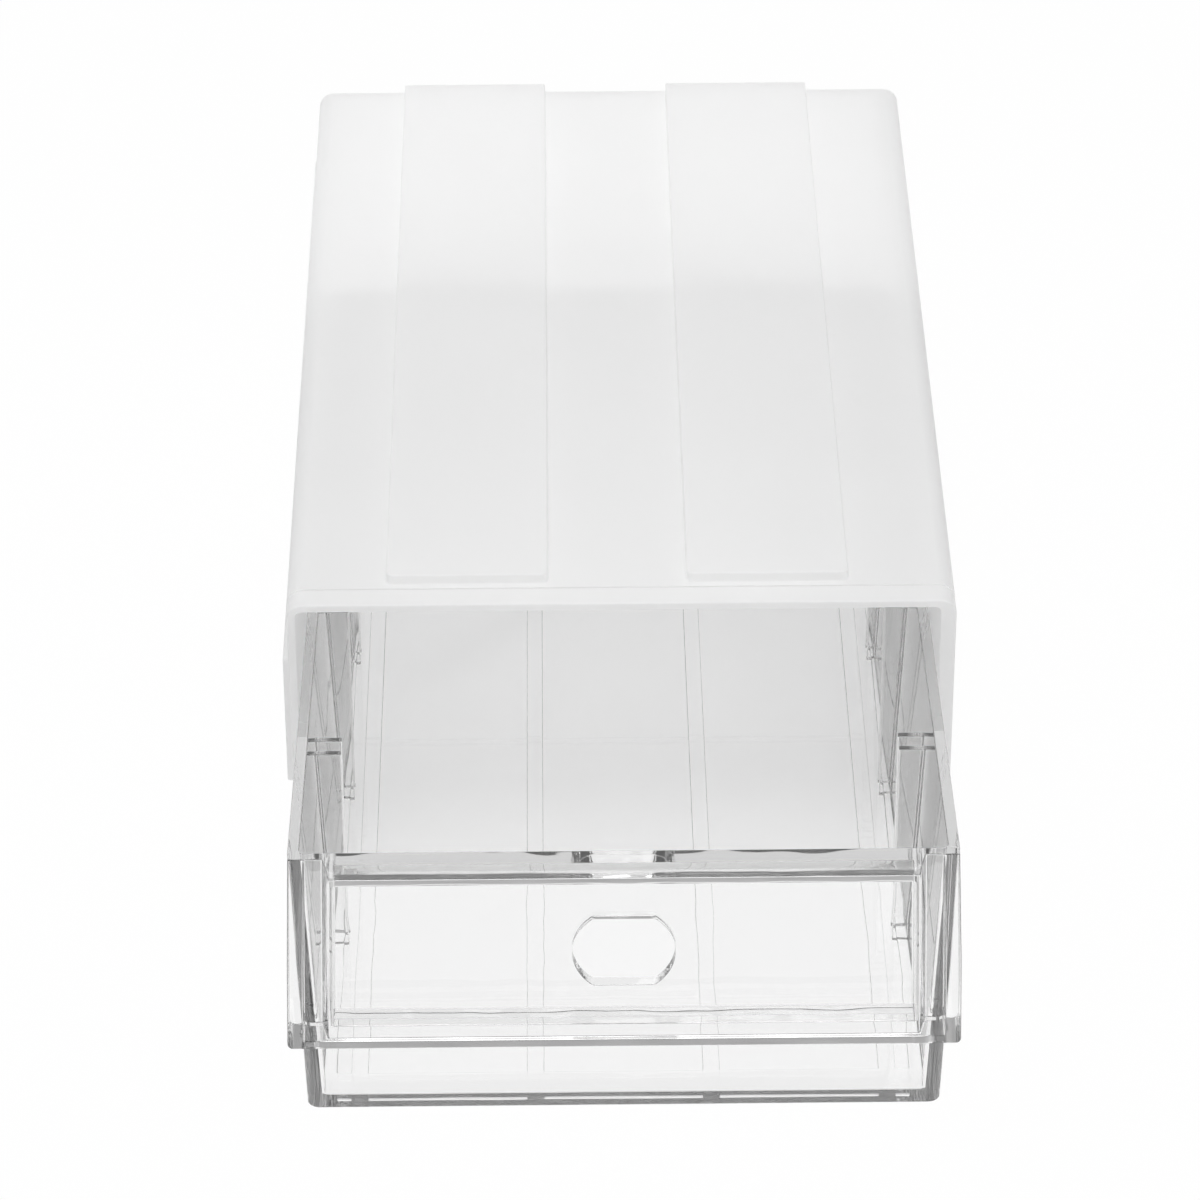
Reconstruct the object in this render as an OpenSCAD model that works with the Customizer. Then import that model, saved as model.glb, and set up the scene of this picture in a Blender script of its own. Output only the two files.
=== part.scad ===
// Stackable drawer box: a white outer shell and one clear drawer that slides in it.
// Shells lock onto each other with flat rails on the top and the left side, which run in
// grooves under the floor and in the right side of the next shell.
//
// X runs across the front, Y from front to back, Z up, all in millimetres. The origin is
// in the underside of the shell, on the drawer's centre plane and halfway along the shell.

/* [Shell] */
// Width of the shell's body, without the side rail
shell_w = 120; // [110:1:150]
// Depth of the shell from front edge to back
shell_d = 190; // [170:1:230]
// Height of the shell's body, without the top rails
shell_h = 60; // [56:1:75]
// Thickness of the top
top_t = 1.8; // [1.5:0.1:2.2]
// Thickness of the floor, which holds the lower grooves
floor_t = 3.4; // [3.2:0.1:4]
// Thickness of the left wall
left_t = 1.5; // [1.2:0.1:2]
// Thickness of the right wall, which holds the side groove
right_t = 2.9; // [2.6:0.1:3.4]
// Thickness of the back wall
back_t = 1.8; // [1.4:0.1:2.4]
// Radius of the four long outer edges
edge_r = 3; // [2:0.5:4]
// Length of the slightly lower collar behind the front edge
collar_len = 5; // [3:0.5:6]
// How much lower the collar's top is
collar_step = 0.3; // [0.2:0.1:0.5]
// Draft of the side walls inside, in degrees, which narrows the space towards the back
shell_draft = 0.3; // [0:0.05:0.4]

/* [Rails and grooves] */
// Width of each top rail
rail_w = 29; // [20:1:32]
// Distance between the middles of the two top rails
rail_pitch = 54; // [46:1:60]
// Height of the top rails
rail_h = 1.8; // [1.2:0.1:1.8]
// Distance from the front edge to the rails' front ends
rail_setback = 6.4; // [6.4:0.2:12]
// Radius of the rails' front corners
rail_r = 1.2; // [0.5:0.1:3]
// Height of the rail on the left side, measured along the wall
side_rail_w = 27.6; // [20:0.2:30]
// How far the side rail stands out
side_rail_h = 1.4; // [1:0.1:1.4]
// Room left between a rail and each side of its groove
rail_play = 0.5; // [0.3:0.1:0.8]
// Extra depth of a groove below its rail
groove_clear = 0.1; // [0.1:0.1:0.2]

/* [Drawer] */
// How far the drawer stands out of the shell
drawer_out = 78; // [0:1:148]
// Room under the drawer
play_under = 0.3; // [0.2:0.1:0.5]
// Room over the drawer
play_over = 0.8; // [0.5:0.1:1.5]
// Room beside the top of the drawer at its front
play_beside = 1.2; // [0.9:0.1:1.6]
// Thickness of the drawer's floor
drawer_floor_t = 1.8; // [1.4:0.1:2.6]
// Thickness of the side walls at the rim
side_t = 2; // [1.6:0.1:2.6]
// Thickness of the front wall at the rim
front_t = 1.9; // [1.5:0.1:2.4]
// Thickness of the back wall at the rim
rear_t = 1.9; // [1.5:0.1:2.4]
// Draft of the outer faces, in degrees from upright
draft_out = 1.9; // [1:0.1:2]
// Draft of the inner faces, in degrees from upright
draft_in = 2.4; // [1:0.1:2.6]
// How much the drawer draws in towards its back, in degrees on each side
plan_draft = 0.8; // [0:0.05:0.8]
// Radius of the drawer's upright outer corners
corner_r = 2; // [1:0.5:3]

/* [Divider guides] */
// Number of guides on each side
guide_count = 3; // [0:1:6]
// Width of the slot between the two ribs of a guide
slot_w = 2.7; // [1.5:0.1:4]
// Thickness of a rib
rib_t = 1.3; // [1:0.1:2]
// Distance from the centre plane to the ribs' free edges
rib_half = 49; // [46:0.5:49.5]
// Distance from the rim down to the top of the ribs
rib_drop = 10; // [4:1:30]

/* [Front frame] */
// How far the frame stands forward of the front wall
frame_reach = 4.7; // [3:0.1:5]
// Half width of the frame where it leaves the wall, at the rim
frame_half = 50.7; // [46:0.1:51]
// How much the frame narrows from the wall to its front edge
frame_bevel = 1.2; // [0:0.1:1.5]
// How far the top of the frame runs level before it falls to its front edge
frame_level = 2.6; // [0.5:0.1:2.9]
// How much the top of the frame falls at its front edge
frame_fall = 0.9; // [0:0.1:1.5]
// Thickness of the frame's sides at the front edge
frame_lip = 0.8; // [0.5:0.1:1.2]
// Thickness of the frame's top bar at the front edge
frame_top_t = 1.4; // [1:0.1:2]
// Height of the frame's bottom bar above the shelf
frame_bar_h = 2.8; // [1.5:0.1:4]
// Spread of the frame and cheeks towards the bottom, in degrees
flare = 1.6; // [0:0.1:1.8]
// How far the shelf under the frame stands forward of the front wall
shelf_reach = 5.3; // [5.3:0.1:6]
// Height of the shelf's underside above the drawer's underside
shelf_z = 17.35; // [12:0.1:22]
// Thickness of the shelf
shelf_t = 1.7; // [1.2:0.1:2.5]
// Thickness of the cheeks beside the frame
cheek_t = 2.7; // [2.3:0.1:3]
// How far the cheeks reach back from the front wall's outer face
cheek_back = 7.8; // [4:0.1:12]
// Height of the cheeks' upright lower front, above which they lean back
cheek_upright = 17.8; // [6:0.1:24]
// Radius of the cheeks' lower outer corner
cheek_r = 1; // [0.5:0.1:1.5]

/* [Finger hole] */
// Diameter of the round ends
hole_d = 17.5; // [14:0.1:22]
// Height between the flats
hole_h = 14; // [8:0.1:15]
// Height of the hole's middle above the drawer's underside
hole_z = 33.5; // [31:0.1:38]
// Radius where the flats meet the round ends
hole_corner = 1.2; // [0.2:0.1:3]

/* [Drawer floor] */
// Width of the raised bands that run along the floor
band_w = 2.9; // [2:0.1:4]
// Distance from the centre plane to the inner bands
band_x = 15.3; // [12:0.1:18]
// Depth of the panels sunk between the bands
panel_sink = 0.3; // [0.1:0.1:0.6]
// Width of the narrow panels beside the walls
side_panel_w = 2.5; // [1:0.1:3]
// Plain margin at the front and back of the panels
panel_margin = 6.5; // [3:0.5:12]

/* [Hidden] */

$fn = 48;
slice = 0.01;
over = 1;

// Shell
inner_half = (shell_w - left_t - right_t) / 2;
shell_left = -inner_half - left_t;
shell_right = inner_half + right_t;
shell_front = -shell_d / 2;
shell_back = shell_d / 2;
ceiling = shell_h - top_t;
cavity_r = 1;
rail_front = shell_front + rail_setback;
groove_front = rail_front - groove_clear;
side_mid = shell_h / 2;

// Drawer box
drawer_bottom = floor_t + play_under;
rim = ceiling - play_over;
drawer_h = rim - drawer_bottom;
stop_clear = 0.6;
front_setback = 0.1;
wall_y = shell_front - drawer_out + shelf_reach + front_setback;
rear_y = shell_back - back_t - stop_clear - drawer_out;
box_half = inner_half - play_beside;
hollow_bottom = drawer_bottom + drawer_floor_t;
plan_draw = (rear_y - wall_y) * tan(plan_draft);
end_draft = draft_in / 3;
foot_bevel = 0.3;
panel_clear = 0.4;

// Divider guides
bay_setback = 0.4;
first_bay_y = wall_y + front_t + bay_setback;
bay = (rear_y - rear_t - first_bay_y) / (guide_count + 1);
rib_top = rim - rib_drop;

// Front frame, shelf and cheeks
shelf_bottom = drawer_bottom + shelf_z;
shelf_top = shelf_bottom + shelf_t;
frame_h = rim - shelf_top;
frame_spread = frame_h * tan(flare);
cheek_clear = 0.3;
cheek_half = inner_half - cheek_clear;
cheek_knee = shelf_bottom + cheek_upright;
cheek_top_half = cheek_half - (rim - shelf_bottom) * tan(flare);

// A profile in X and Z, drawn out along Y from y0 to y1
module along_y(y0, y1) {
    translate([0, y1, 0]) rotate([90, 0, 0]) linear_extrude(y1 - y0) children();
}

// A profile in Y and Z, drawn out along X from x0 to x1
module along_x(x0, x1) {
    translate([x0, 0, 0]) rotate([90, 0, 90]) linear_extrude(x1 - x0) children();
}

// A rectangle between two corners, with four round corners
module round_rect(x0, y0, x1, y1, r) {
    translate([x0 + r, y0]) square([x1 - x0 - 2 * r, y1 - y0]);
    translate([x0, y0 + r]) square([x1 - x0, y1 - y0 - 2 * r]);
    for (x = [x0 + r, x1 - r], y = [y0 + r, y1 - r])
        translate([x, y]) circle(r);
}

// A rail's outline, round at the front corners only and centred on the X axis
module rail_outline(w, y0, y1, r) {
    translate([-w / 2 + r, y0]) square([w - 2 * r, y1 - y0]);
    translate([-w / 2, y0 + r]) square([w, y1 - y0 - r]);
    for (x = [-w / 2 + r, w / 2 - r])
        translate([x, y0 + r]) circle(r);
}

// A rail on its side: its outline lies in Y and Z about the height mid
module side_rail(mid, w, y0, y1, r, x0, x1) {
    translate([x0, 0, mid]) rotate([0, 90, 0]) linear_extrude(x1 - x0)
        rail_outline(w, y0, y1, r);
}

// The shell's body: the collar at the front, and the full section behind it
module shell_body() {
    along_y(shell_front, shell_front + collar_len + slice)
        round_rect(shell_left, 0, shell_right, shell_h - collar_step, edge_r);
    along_y(shell_front + collar_len, shell_back)
        round_rect(shell_left, 0, shell_right, shell_h, edge_r);
}

// The two rails on the top and the one on the left side
module shell_rails() {
    for (s = [-1, 1])
        translate([s * rail_pitch / 2, 0, shell_h - over]) linear_extrude(rail_h + over)
            rail_outline(rail_w, rail_front, shell_back, rail_r);
    side_rail(side_mid, side_rail_w, rail_front, shell_back, rail_r,
              shell_left - side_rail_h, shell_left + over);
}

// The space inside, which narrows towards the back
module shell_cavity() {
    taper = (shell_d - back_t) * tan(shell_draft);
    back = shell_back - back_t;
    hull() {
        along_y(shell_front - slice, shell_front)
            round_rect(-inner_half, floor_t, inner_half, ceiling, cavity_r);
        along_y(back - slice, back)
            round_rect(-inner_half + taper, floor_t, inner_half - taper, ceiling, cavity_r);
    }
}

// The grooves that take the next shell's rails, closed at the front and open at the back
module shell_grooves() {
    for (s = [-1, 1])
        translate([s * rail_pitch / 2, 0, -over])
            linear_extrude(over + rail_h + groove_clear)
                rail_outline(rail_w + 2 * rail_play, groove_front, shell_back + over, rail_r);
    side_rail(side_mid, side_rail_w + 2 * rail_play, groove_front, shell_back + over, rail_r,
              shell_right - side_rail_h - groove_clear, shell_right + over);
}

module outer_shell() {
    color("whitesmoke")
        difference() {
            union() {
                shell_body();
                shell_rails();
            }
            shell_cavity();
            shell_grooves();
        }
}

// A thin slice of the drawer's plan at height z: half is its half width at the front
module plan_slice(z, half, y_front, y_rear, r) {
    for (s = [-1, 1]) {
        translate([s * (half - r), y_front + r, z]) cylinder(r = r, h = slice, $fn = 32);
        translate([s * (half - plan_draw - r), y_rear - r, z]) cylinder(r = r, h = slice, $fn = 32);
    }
}

// The drawer's outside: walls with draft, and a small bevel round the floor
module box_outside() {
    lean = tan(draft_out);
    hull() {
        plan_slice(rim - slice, box_half, wall_y, rear_y, corner_r);
        plan_slice(drawer_bottom + foot_bevel, box_half - (drawer_h - foot_bevel) * lean,
                   wall_y, rear_y - (drawer_h - foot_bevel) * lean, corner_r);
        plan_slice(drawer_bottom, box_half - drawer_h * lean - foot_bevel,
                   wall_y + foot_bevel, rear_y - drawer_h * lean - foot_bevel,
                   corner_r - foot_bevel / 2);
    }
}

// The space inside the drawer, a little narrower at the floor
module box_hollow() {
    lean = tan(draft_in);
    depth = rim - hollow_bottom;
    half = box_half - side_t;
    y_front = wall_y + front_t;
    y_rear = rear_y - rear_t;
    end_lean = depth * tan(end_draft);
    r = corner_r / 2;
    hull() {
        plan_slice(rim + over, half + over * lean, y_front, y_rear, r);
        plan_slice(hollow_bottom + foot_bevel, half - (depth - foot_bevel) * lean,
                   y_front + end_lean, y_rear - end_lean, r);
        plan_slice(hollow_bottom, half - depth * lean - foot_bevel,
                   y_front + end_lean + foot_bevel, y_rear - end_lean - foot_bevel, r);
    }
}

// The panels sunk into the floor, which leave four bands standing between them: three broad
// ones, and a narrow one beside each wall, as far as the flat part of the floor reaches
module floor_panels() {
    panel_w = 2 * band_x - band_w;
    side_x = 3 * band_x + band_w / 2;
    y0 = wall_y + front_t + panel_margin;
    y1 = rear_y - rear_t - panel_margin;
    intersection() {
        union() {
            for (x0 = [-3 * band_x, -band_x, band_x])
                floor_panel(x0 + band_w / 2, panel_w, y0, y1);
            for (x0 = [-side_x - side_panel_w, side_x])
                floor_panel(x0, side_panel_w, y0, y1);
        }
        flat_floor();
    }
}

// A block over the flat part of the floor, a little clear of the walls' feet
module flat_floor() {
    wall_lean = (rim - hollow_bottom) * tan(draft_in);
    front = box_half - side_t - wall_lean - foot_bevel - panel_clear;
    back = front - plan_draw;
    translate([0, 0, hollow_bottom - panel_sink - over])
        linear_extrude(panel_sink + 3 * over)
            polygon([
                [-front, wall_y + front_t],
                [front, wall_y + front_t],
                [back, rear_y - rear_t],
                [-back, rear_y - rear_t]
            ]);
}

module floor_panel(x0, w, y0, y1) {
    translate([x0, y0, hollow_bottom - panel_sink])
        cube([w, y1 - y0, panel_sink + over]);
}

// One pair of ribs on the right wall, with a slot between them that takes a divider
module guide(y) {
    for (s = [-1, 1])
        translate([rib_half, y + s * (slot_w + rib_t) / 2 - rib_t / 2, drawer_bottom + over])
            cube([box_half - rib_half, rib_t, rib_top - drawer_bottom - over]);
}

module guides() {
    intersection() {
        box_outside();
        for (i = [1:1:guide_count], side = [0, 1])
            mirror([side, 0, 0]) guide(first_bay_y + i * bay);
    }
}

// The frame's outline where it meets the wall, narrow and fall less than that further forward
module frame_outline(narrow, fall) {
    polygon([
        [-frame_half - frame_spread + narrow, shelf_top - over / 2],
        [frame_half + frame_spread - narrow, shelf_top - over / 2],
        [frame_half - narrow, rim - fall],
        [-frame_half + narrow, rim - fall]
    ]);
}

// The window that the frame goes round
module frame_window() {
    top_half = frame_half - frame_bevel - frame_lip;
    window_bottom = shelf_top + frame_bar_h;
    window_top = rim - frame_fall - frame_top_t;
    spread = (window_top - window_bottom) * tan(flare);
    polygon([
        [-top_half - spread, window_bottom],
        [top_half + spread, window_bottom],
        [top_half, window_top],
        [-top_half, window_top]
    ]);
}

module front_frame() {
    difference() {
        hull() {
            along_y(wall_y, wall_y + front_t / 2) frame_outline(0, 0);
            along_y(wall_y - frame_level, wall_y - frame_level + slice)
                frame_outline(frame_bevel * frame_level / frame_reach, 0);
            along_y(wall_y - frame_reach, wall_y - frame_reach + slice)
                frame_outline(frame_bevel, frame_fall);
        }
        along_y(wall_y - frame_reach - over, wall_y) frame_window();
    }
}

// The shelf under the frame, from cheek to cheek
module shelf() {
    half = cheek_half - cheek_t / 2;
    along_y(wall_y - shelf_reach, wall_y + front_t / 2)
        translate([-half, shelf_bottom]) square([2 * half, shelf_t]);
}

// The right cheek: a plate that leans forward and flares towards the shelf
module cheek() {
    intersection() {
        along_y(wall_y - shelf_reach, wall_y + cheek_back)
            cheek_front_view();
        along_x(cheek_top_half - 2 * cheek_t, cheek_half + over)
            polygon([
                [wall_y - shelf_reach, shelf_bottom],
                [wall_y + cheek_back, shelf_bottom],
                [wall_y + cheek_back, rim],
                [wall_y, rim],
                [wall_y - shelf_reach, cheek_knee]
            ]);
    }
}

module cheek_front_view() {
    polygon([
        [cheek_half - cheek_t, shelf_bottom],
        [cheek_half - cheek_r, shelf_bottom],
        [cheek_half - cheek_r, shelf_bottom + cheek_r],
        [cheek_half, shelf_bottom + cheek_r],
        [cheek_top_half, rim],
        [cheek_top_half - cheek_t, rim]
    ]);
    translate([cheek_half - cheek_r, shelf_bottom + cheek_r]) circle(cheek_r);
}

// The finger hole: a circle cut off flat above and below, with its corners rounded
module finger_hole() {
    along_y(wall_y - over, wall_y + front_t + 2 * over)
        translate([0, drawer_bottom + hole_z])
            offset(r = hole_corner) offset(delta = -hole_corner) intersection() {
                circle(d = hole_d, $fn = 96);
                square([hole_d, hole_h], center = true);
            }
}

module drawer() {
    color([0.86, 0.92, 0.94, 0.55]) {
        difference() {
            union() {
                box_outside();
                front_frame();
                shelf();
                for (side = [0, 1])
                    mirror([side, 0, 0]) cheek();
            }
            box_hollow();
            floor_panels();
            finger_hole();
        }
        guides();
    }
}

outer_shell();
drawer();
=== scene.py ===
"""The stackable drawer box as photographed: a white polypropylene shell with a clear polystyrene
drawer pulled out of it, on a white table in soft light. Everything is in metres."""
import math

import bpy
from mathutils import Matrix, Vector


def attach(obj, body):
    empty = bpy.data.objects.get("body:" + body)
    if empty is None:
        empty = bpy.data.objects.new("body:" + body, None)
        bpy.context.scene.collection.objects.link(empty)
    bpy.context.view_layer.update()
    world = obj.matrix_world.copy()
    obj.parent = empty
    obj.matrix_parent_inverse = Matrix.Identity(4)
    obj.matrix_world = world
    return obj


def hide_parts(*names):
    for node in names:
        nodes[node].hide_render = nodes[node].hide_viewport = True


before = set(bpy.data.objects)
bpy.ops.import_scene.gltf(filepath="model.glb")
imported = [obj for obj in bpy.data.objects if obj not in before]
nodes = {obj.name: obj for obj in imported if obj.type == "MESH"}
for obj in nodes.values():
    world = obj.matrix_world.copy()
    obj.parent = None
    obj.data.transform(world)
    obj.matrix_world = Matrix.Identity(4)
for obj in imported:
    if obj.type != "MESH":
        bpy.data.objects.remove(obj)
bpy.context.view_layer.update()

MM = 0.001


# ---------------------------------------------------------------- camera

CAMERA_PLACE = Vector((-10.5, -896.0, 600.4)) * MM
CAMERA_DOWN = math.radians(33.98)
CAMERA_YAW = math.radians(0.523)
CAMERA_ROLL = math.radians(0.205)
SENSOR_WIDTH = 36.0
PHOTO_WIDTH = 1200
FOCAL_PIXELS = 5409
CLIP_NEAR, CLIP_FAR = 0.05, 20


def make_camera():
    """The photograph's camera: a long lens that looks along +Y and 34 degrees down."""
    cos_down, sin_down = math.cos(CAMERA_DOWN), math.sin(CAMERA_DOWN)
    cos_yaw, sin_yaw = math.cos(CAMERA_YAW), math.sin(CAMERA_YAW)
    ahead = Vector((sin_yaw * cos_down, cos_yaw * cos_down, -sin_down))
    level = Vector((cos_yaw, -sin_yaw, 0))
    below = ahead.cross(level)
    right = math.cos(CAMERA_ROLL) * level + math.sin(CAMERA_ROLL) * below
    up = math.sin(CAMERA_ROLL) * level - math.cos(CAMERA_ROLL) * below
    data = bpy.data.cameras.new("camera")
    data.sensor_width = SENSOR_WIDTH
    data.lens = SENSOR_WIDTH * FOCAL_PIXELS / PHOTO_WIDTH
    data.clip_start, data.clip_end = CLIP_NEAR, CLIP_FAR
    camera = bpy.data.objects.new("camera", data)
    camera.matrix_world = (
        Matrix.Translation(CAMERA_PLACE) @ Matrix((right, up, -ahead)).transposed().to_4x4()
    )
    bpy.context.scene.collection.objects.link(camera)
    bpy.context.scene.camera = camera


# ---------------------------------------------------------------- materials

def linear(code):
    """An sRGB colour such as "#E7E7E7" as linear RGBA."""
    parts = [int(code[i:i + 2], 16) / 255 for i in (1, 3, 5)]
    return [p / 12.92 if p <= 0.04045 else ((p + 0.055) / 1.055) ** 2.4 for p in parts] + [1]


def add(tree, kind, inputs=None, **settings):
    """One new node with its settings, whose inputs take plain values or other nodes' outputs."""
    node = tree.nodes.new(kind)
    for name, value in settings.items():
        setattr(node, name, value)
    for name, value in (inputs or {}).items():
        if isinstance(value, bpy.types.NodeSocket):
            tree.links.new(value, node.inputs[name])
        else:
            node.inputs[name].default_value = value
    return node


def new_material(name):
    """An empty material and its node tree."""
    material = bpy.data.materials.new(name)
    material.use_nodes = True
    material.node_tree.nodes.clear()
    return material, material.node_tree


def per_metre(millimetres):
    """The scale of a texture on Object coordinates whose pattern is this many millimetres wide."""
    return 1 / (millimetres * MM)


# the share of the light on the shell's walls that goes through them softly, and the share of
# the lamps' light that reaches what is behind them
MILKY = 0.5
LAMPS_THROUGH = 0.74


def white_polypropylene():
    """Natural polypropylene with white pigment, injection moulded against a spark-eroded steel
    mould: an even satin white with a very fine grain, and broad faint clouds where the melt
    flowed. Light goes a little way into it, so its edges look soft."""
    material, tree = new_material("moulded white polypropylene")
    place = add(tree, "ShaderNodeTexCoord").outputs["Object"]
    flow = add(tree, "ShaderNodeTexNoise", {
        "Vector": place, "Scale": per_metre(45), "Detail": 2.0, "Distortion": 0.6})
    colour = add(tree, "ShaderNodeMix", {
        "Factor": flow.outputs["Fac"], "A": linear("#F7F7F7"), "B": linear("#FBFBFB")},
        data_type="RGBA")
    # the real grain is about 0.05 mm, drawn at 0.5 mm so that it shows
    grain = add(tree, "ShaderNodeTexNoise", {
        "Vector": place, "Scale": per_metre(0.5), "Detail": 1.0, "Roughness": 0.5})
    ripple = add(tree, "ShaderNodeTexNoise", {
        "Vector": place, "Scale": per_metre(14), "Detail": 1.0})
    fine = add(tree, "ShaderNodeBump", {
        "Height": grain.outputs["Fac"], "Distance": 0.012 * MM, "Strength": 1.0})
    normal = add(tree, "ShaderNodeBump", {
        "Height": ripple.outputs["Fac"], "Distance": 0.12 * MM, "Strength": 1.0,
        "Normal": fine.outputs["Normal"]})
    rough = add(tree, "ShaderNodeMapRange", {
        "Value": grain.outputs["Fac"], "To Min": 0.42, "To Max": 0.54})
    skin = add(tree, "ShaderNodeBsdfPrincipled", {
        "Base Color": colour.outputs["Result"], "Roughness": rough.outputs["Result"],
        "IOR": 1.49, "Normal": normal.outputs["Normal"]})
    # the walls are milky: they glow with the light that falls on their other side, and the
    # lamps reach through them, so the inside of the shell is nearly as bright as its top
    glow = add(tree, "ShaderNodeBsdfTranslucent", {"Color": linear("#FCFCFC")})
    milky = add(tree, "ShaderNodeMixShader", {
        0: MILKY, 1: skin.outputs["BSDF"], 2: glow.outputs["BSDF"]})
    path = add(tree, "ShaderNodeLightPath")
    through = add(tree, "ShaderNodeMath", {
        0: path.outputs["Is Shadow Ray"], 1: LAMPS_THROUGH}, operation="MULTIPLY")
    lamp_light = add(tree, "ShaderNodeBsdfTransparent", {"Color": linear("#FFFFFF")})
    surface = add(tree, "ShaderNodeMixShader", {
        0: through.outputs[0], 1: milky.outputs["Shader"], 2: lamp_light.outputs["BSDF"]})
    add(tree, "ShaderNodeOutputMaterial", {"Surface": surface.outputs["Shader"]})
    return material


# the waves of the clear walls: how high they are on the front wall and elsewhere, and between
# which places they die away, to the sides and to the back
WAVES, CALM = 0.16 * MM, 0.004 * MM
WAVES_SIDE, CALM_SIDE = 49.0 * MM, 50.5 * MM
WAVES_BACK, CALM_BACK = -165.0 * MM, -163.0 * MM


def clear_polystyrene():
    """Crystal polystyrene, injection moulded in a polished mould: water clear, very glossy and
    more refractive than acrylic, so its edges show dark. The cooled skin is not quite flat and
    bends straight lines seen through it into small waves. A long way through it looks grey."""
    material, tree = new_material("moulded crystal polystyrene")
    place = add(tree, "ShaderNodeTexCoord").outputs["Object"]
    wave = add(tree, "ShaderNodeTexNoise", {
        "Vector": place, "Scale": per_metre(11), "Detail": 1.0, "Roughness": 0.4})
    # the waves are on the front wall between the cheeks: elsewhere the moulding is flat
    at = add(tree, "ShaderNodeSeparateXYZ", {"Vector": place})
    aside = add(tree, "ShaderNodeMath", {0: at.outputs["X"]}, operation="ABSOLUTE")
    between = add(tree, "ShaderNodeMapRange", {
        "Value": aside.outputs[0], "From Min": WAVES_SIDE, "From Max": CALM_SIDE,
        "To Min": WAVES, "To Max": CALM}, clamp=True)
    on_front = add(tree, "ShaderNodeMapRange", {
        "Value": at.outputs["Y"], "From Min": WAVES_BACK, "From Max": CALM_BACK,
        "To Min": between.outputs["Result"], "To Max": CALM}, clamp=True)
    normal = add(tree, "ShaderNodeBump", {
        "Height": wave.outputs["Fac"], "Distance": on_front.outputs["Result"], "Strength": 1.0})
    haze = add(tree, "ShaderNodeTexNoise", {"Vector": place, "Scale": per_metre(6)})
    rough = add(tree, "ShaderNodeMapRange", {
        "Value": haze.outputs["Fac"], "To Min": 0.0, "To Max": 0.03})
    glass = add(tree, "ShaderNodeBsdfPrincipled", {
        "Base Color": linear("#FCFCFC"), "Roughness": rough.outputs["Result"], "IOR": 1.59,
        "Transmission Weight": 1.0, "Normal": normal.outputs["Normal"]})
    # lamps shine through the clear walls on what is behind them
    path = add(tree, "ShaderNodeLightPath")
    open_to_lamps = add(tree, "ShaderNodeBsdfTransparent", {"Color": linear("#FFFFFF")})
    surface = add(tree, "ShaderNodeMixShader", {
        0: path.outputs["Is Shadow Ray"], 1: glass.outputs["BSDF"],
        2: open_to_lamps.outputs["BSDF"]})
    inside = add(tree, "ShaderNodeVolumeAbsorption", {
        "Color": linear("#8E8E8E"), "Density": 7.0})
    add(tree, "ShaderNodeOutputMaterial", {
        "Surface": surface.outputs["Shader"], "Volume": inside.outputs["Volume"]})
    return material


# ---------------------------------------------------------------- pieces

# edges sharper than this are rounded, and faces flatter to each other than this become one
SHARP = math.radians(30)
FLAT = math.radians(1.0)
# points closer than this are one: in the CAD solids' loose triangles, and where a rounding
# runs out and the bevel leaves points on top of each other
CAD_POINT, BEVEL_POINT = 0.03 * MM, 0.002 * MM
# points closer to a cut than this are on it
ON_CUT = 0.01 * MM


def pick(piece):
    """Only this piece is selected, and it is the active object."""
    bpy.ops.object.select_all(action="DESELECT")
    piece.select_set(True)
    bpy.context.view_layer.objects.active = piece


def select_faces(piece, wanted):
    """In edit mode: only the faces for which wanted(face) is true are selected."""
    bpy.ops.mesh.select_all(action="DESELECT")
    bpy.ops.object.mode_set(mode="OBJECT")
    for face in piece.data.polygons:
        face.select = wanted(face)
    bpy.ops.object.mode_set(mode="EDIT")


def moulding_from(node, name, cuts=()):
    """A copy of a CAD solid with its loose triangles joined and its flat faces made whole. Each
    cut (wanted, axis, place) keeps the wanted faces cut straight across, so that none of them
    goes round a hole."""
    piece = nodes[node].copy()
    piece.data = nodes[node].data.copy()
    piece.name = name
    piece.parent = None
    bpy.context.scene.collection.objects.link(piece)
    pick(piece)
    bpy.ops.object.mode_set(mode="EDIT")
    bpy.ops.mesh.select_all(action="SELECT")
    bpy.ops.mesh.remove_doubles(threshold=CAD_POINT)
    for wanted, axis, place in cuts:
        select_faces(piece, wanted)
        bpy.ops.mesh.bisect(plane_co=place * axis, plane_no=axis, threshold=ON_CUT)
        bpy.ops.mesh.mark_seam()
    bpy.ops.mesh.select_all(action="SELECT")
    bpy.ops.mesh.dissolve_limited(angle_limit=FLAT, delimit={"SEAM"})
    bpy.ops.object.mode_set(mode="OBJECT")
    return piece


def edge_angle(normals):
    """The angle between the faces beside an edge, whose normals these are."""
    return normals[0].angle(normals[1]) if len(normals) == 2 else 0


def round_edges(piece, width, share):
    """Rounds the sharp edges, by width times share(middle of the edge)."""
    mesh = piece.data
    beside = {}
    for face in mesh.polygons:
        for key in face.edge_keys:
            beside.setdefault(key, []).append(face.normal)
    weights = mesh.attributes.new("bevel_weight_edge", "FLOAT", "EDGE")
    for edge in mesh.edges:
        a, b = (mesh.vertices[v].co for v in edge.vertices)
        if edge_angle(beside[edge.key]) > SHARP:
            weights.data[edge.index].value = share((a + b) / 2)
    bevel = piece.modifiers.new("round edges", "BEVEL")
    bevel.limit_method = "WEIGHT"
    bevel.width = width
    bevel.segments = 3
    bevel.use_clamp_overlap = False
    bevel.miter_outer = "MITER_ARC"
    pick(piece)
    bpy.ops.object.modifier_apply(modifier=bevel.name)
    bpy.ops.object.mode_set(mode="EDIT")
    bpy.ops.mesh.select_all(action="SELECT")
    bpy.ops.mesh.remove_doubles(threshold=BEVEL_POINT)
    bpy.ops.object.mode_set(mode="OBJECT")
    bpy.ops.object.shade_smooth_by_angle(angle=SHARP)
    even = piece.modifiers.new("even normals", "WEIGHTED_NORMAL")
    even.keep_sharp = True
    bpy.ops.object.modifier_apply(modifier=even.name)


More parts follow.
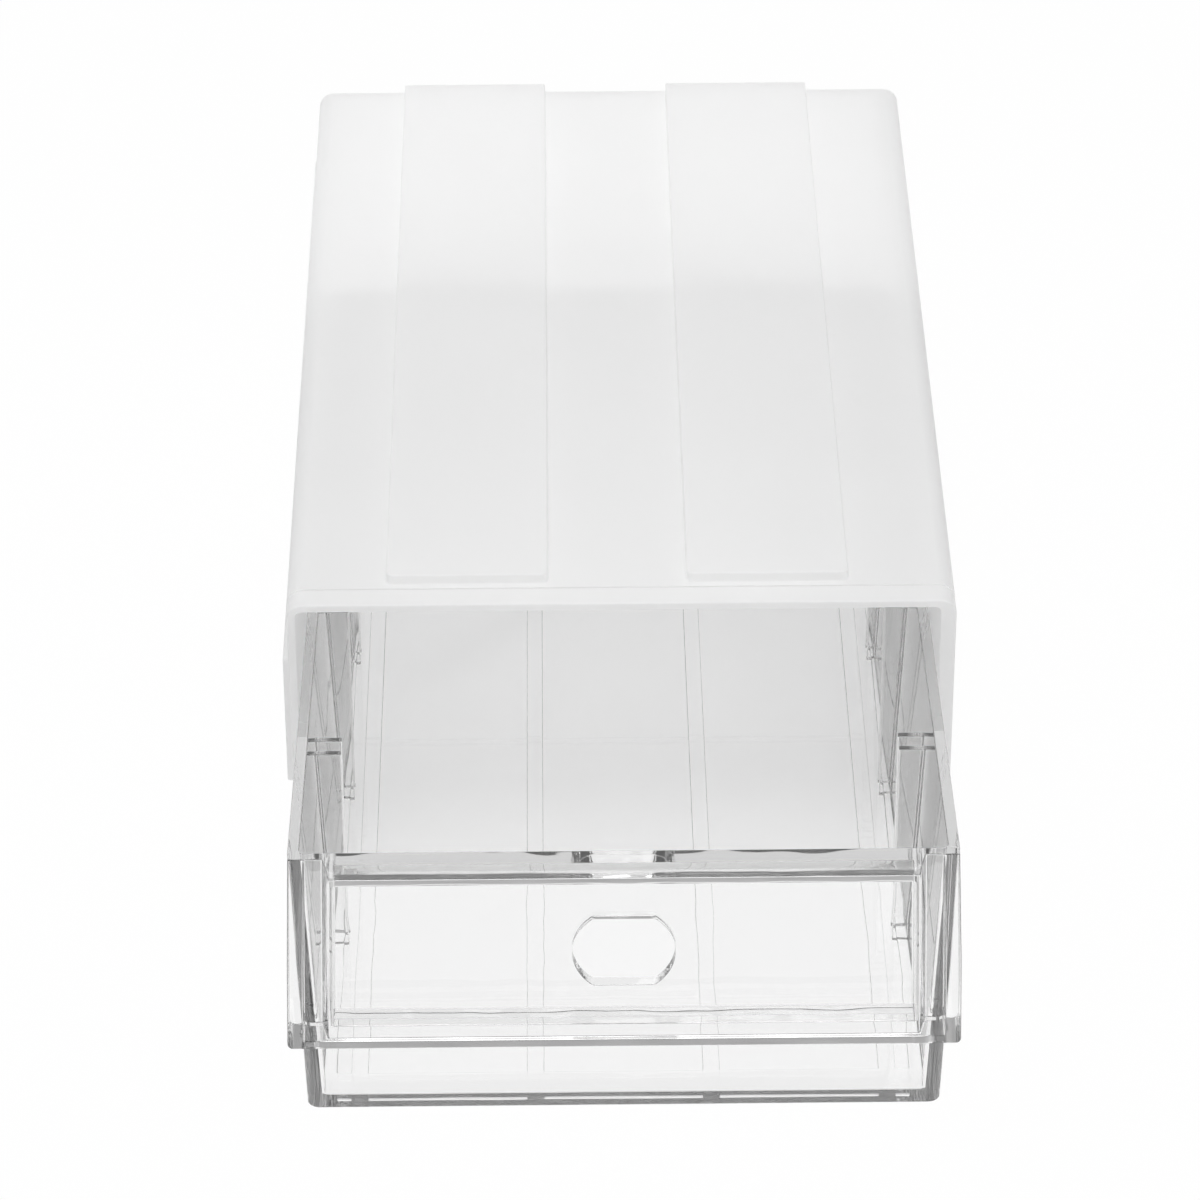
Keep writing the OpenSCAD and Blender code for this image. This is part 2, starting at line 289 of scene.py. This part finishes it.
def dress(piece, body, node, material):
    """The piece stands for its CAD node, moves with its body and has its finish."""
    piece.data.materials.clear()
    piece.data.materials.append(material)
    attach(piece, body)
    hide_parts(node)


# the shell: its rounding, and the step behind its collar, which is too low to be rounded
SHELL_ROUNDING = 0.3 * MM
COLLAR_BACK, NEAR_COLLAR = -90.0 * MM, 0.2 * MM

# the drawer: its rounding in full, and the shares of it on the walls' feet outside, on the
# edges of the floor panels and in the corner where the frame's lower bar meets the wall
DRAWER_ROUNDING = 0.2 * MM
FOOT_SHARE, PANEL_SHARE, BAR_SHARE = 0.4, 0.5, 2.5
# the feet outside lie below the first height. The feet inside and the panels lie below the
# second, the panels between these places
OUTER_FOOT, INNER_FOOT = 4.2 * MM, 5.9 * MM
FOOT_X, FOOT_FRONT, FOOT_BACK = 49.95 * MM, -163.0 * MM, 10.0 * MM
# the faces that go round others: the floor round its panels, the shelf, and the frame's front
# round the window
FLOOR_BOTTOM, FLOOR_TOP = 5.1 * MM, 5.6 * MM
PANEL_ENDS = (-159.2 * MM, 6.2 * MM)
SHELF_TOP = 22.75 * MM
FRAME_FRONT, WALL_FRONT = -172.3 * MM, -167.6 * MM
WINDOW_ENDS = (25.55 * MM, 55.1 * MM)
ON_FACE, ON_EDGE = 0.02 * MM, 0.1 * MM
ALONG, UP = Vector((0, 1, 0)), Vector((0, 0, 1))


def make_shell():
    piece = moulding_from("outer_shell", "shell_moulding")

    def share(middle):
        return 0.0 if abs(middle.y - COLLAR_BACK) < NEAR_COLLAR else 1.0

    round_edges(piece, SHELL_ROUNDING, share)
    dress(piece, "shell", "outer_shell", white_polypropylene())


def make_drawer():
    def on_floor(face):
        return FLOOR_BOTTOM < face.center.z < FLOOR_TOP and face.normal.z > 0.9

    def on_frame_front(face):
        return face.normal.y < -0.99 and abs(face.center.y - FRAME_FRONT) < ON_FACE

    def on_shelf(face):
        return face.normal.z > 0.9 and abs(face.center.z - SHELF_TOP) < ON_FACE

    cuts = [(on_floor, ALONG, y) for y in PANEL_ENDS]
    cuts += [(on_frame_front, UP, z) for z in WINDOW_ENDS]
    cuts += [(on_shelf, ALONG, FRAME_FRONT)]
    piece = moulding_from("drawer", "drawer_moulding", cuts)

    def share(middle):
        # the frame's lower bar meets the wall in a wider fillet, which shows as a dark line
        if abs(middle.y - WALL_FRONT) < ON_EDGE and abs(middle.z - WINDOW_ENDS[0]) < ON_EDGE:
            return BAR_SHARE
        if middle.z < OUTER_FOOT:
            return FOOT_SHARE
        if middle.z > INNER_FOOT:
            return 1.0
        on_foot = abs(middle.x) > FOOT_X or not FOOT_FRONT < middle.y < FOOT_BACK
        return 0.0 if on_foot else PANEL_SHARE

    round_edges(piece, DRAWER_ROUNDING, share)
    dress(piece, "sliding_drawer", "drawer", clear_polystyrene())


# ---------------------------------------------------------------- studio

TABLE_HALF = 4.0
TABLE_GAP = 0.05 * MM
# the share of the table that shines, which leaves a faint shadow in the rest
TABLE_SHINE = 0.97
# light mirrored up to the first number of times sees the table at full brightness, and light
# mirrored more often than the second sees it painted dark to this level: a painted shadow for the
# shade under the box
GUIDED_FROM, GUIDED_TO = 8.5, 12.0
PAINTED_SHADE_LEVEL = 0.12


def make_table():
    """A wide white table. It shows pure white to the camera and in the clear drawer, and keeps
    a faint shadow of the box. For light that the drawer's walls guide back and forth many times
    the table is painted dark, a painted shadow that stands in for the shade under the box."""
    bpy.ops.object.select_all(action="DESELECT")
    bpy.ops.mesh.primitive_plane_add(size=2 * TABLE_HALF, location=(0, 0, -TABLE_GAP))
    table = bpy.context.object
    table.name = "table"
    material, tree = new_material("white table laminate")
    plain = add(tree, "ShaderNodeBsdfDiffuse", {"Color": linear("#F2F2F2")})
    path = add(tree, "ShaderNodeLightPath")
    # painted shadow: the table's shine dims for light mirrored many times inside the clear walls
    painted_shade = add(tree, "ShaderNodeMapRange", {
        "Value": path.outputs["Ray Depth"], "From Min": GUIDED_FROM, "From Max": GUIDED_TO,
        "To Min": 1.0, "To Max": PAINTED_SHADE_LEVEL}, clamp=True)
    shine = add(tree, "ShaderNodeEmission", {
        "Color": linear("#FFFFFF"), "Strength": painted_shade.outputs["Result"]})
    mirrored = add(tree, "ShaderNodeMath", {
        0: path.outputs["Is Glossy Ray"], 1: path.outputs["Is Transmission Ray"]},
        operation="MAXIMUM")
    seen = add(tree, "ShaderNodeMath", {
        0: path.outputs["Is Camera Ray"], 1: mirrored.outputs[0]}, operation="MAXIMUM")
    share = add(tree, "ShaderNodeMath", {
        0: seen.outputs[0], 1: TABLE_SHINE}, operation="MULTIPLY")
    surface = add(tree, "ShaderNodeMixShader", {
        0: share.outputs[0], 1: plain.outputs["BSDF"], 2: shine.outputs["Emission"]})
    add(tree, "ShaderNodeOutputMaterial", {"Surface": surface.outputs["Shader"]})
    table.data.materials.append(material)


def make_world():
    """White behind the object. Reflections and the clear drawer see a white horizon under a
    darker studio, which is what draws the drawer's edges."""
    world = bpy.data.worlds.new("studio")
    world.use_nodes = True
    bpy.context.scene.world = world
    tree = world.node_tree
    tree.nodes.clear()
    where = add(tree, "ShaderNodeTexCoord").outputs["Generated"]
    height = add(tree, "ShaderNodeSeparateXYZ", {"Vector": where}).outputs["Z"]
    studio = add(tree, "ShaderNodeValToRGB", {"Fac": height})
    ramp = studio.color_ramp
    ramp.interpolation = "EASE"
    ramp.elements[0].position, ramp.elements[0].color = 0.1, linear("#FFFFFF")
    ramp.elements[1].position, ramp.elements[1].color = 0.8, linear("#808080")
    path = add(tree, "ShaderNodeLightPath")
    mirrored = add(tree, "ShaderNodeMath", {
        0: path.outputs["Is Glossy Ray"], 1: path.outputs["Is Transmission Ray"]},
        operation="MAXIMUM")
    other = add(tree, "ShaderNodeMix", {
        "Factor": mirrored.outputs[0], "A": linear("#BDBDBD"), "B": studio.outputs["Color"]},
        data_type="RGBA")
    colour = add(tree, "ShaderNodeMix", {
        "Factor": path.outputs["Is Camera Ray"], "A": other.outputs["Result"],
        "B": linear("#FFFFFF")}, data_type="RGBA")
    sky = add(tree, "ShaderNodeBackground", {"Color": colour.outputs["Result"], "Strength": 1.0})
    add(tree, "ShaderNodeOutputWorld", {"Surface": sky.outputs["Background"]})


MIDDLE_OF_BOX = Vector((0, -0.04, 0.03))


def make_softbox(name, place, width, height, power):
    """A rectangular lamp that faces the middle of the box."""
    data = bpy.data.lights.new(name, "AREA")
    data.shape = "RECTANGLE"
    data.size, data.size_y = width, height
    data.energy = power
    lamp = bpy.data.objects.new(name, data)
    place = Vector(place)
    turn = (MIDDLE_OF_BOX - place).to_track_quat("-Z", "Y").to_matrix().to_4x4()
    lamp.matrix_world = Matrix.Translation(place) @ turn
    bpy.context.scene.collection.objects.link(lamp)


# light that a clear wall guides from end to end is mirrored inside it this many times, and
# light between the white walls of the shell this many
GUIDED_BOUNCES = 96
WHITE_BOUNCES = 16

make_camera()
make_shell()
make_drawer()
make_table()
make_world()
make_softbox("softbox over the box", (-0.2, -0.05, 1.1), width=1.0, height=1.0, power=6.0)
make_softbox("softbox at the front", (0.4, -1.1, 0.6), width=0.8, height=0.6, power=2.8)

scene = bpy.context.scene
scene.view_settings.view_transform = "Standard"
scene.cycles.max_bounces = GUIDED_BOUNCES
scene.cycles.diffuse_bounces = WHITE_BOUNCES
scene.cycles.transmission_bounces = GUIDED_BOUNCES
scene.cycles.glossy_bounces = GUIDED_BOUNCES
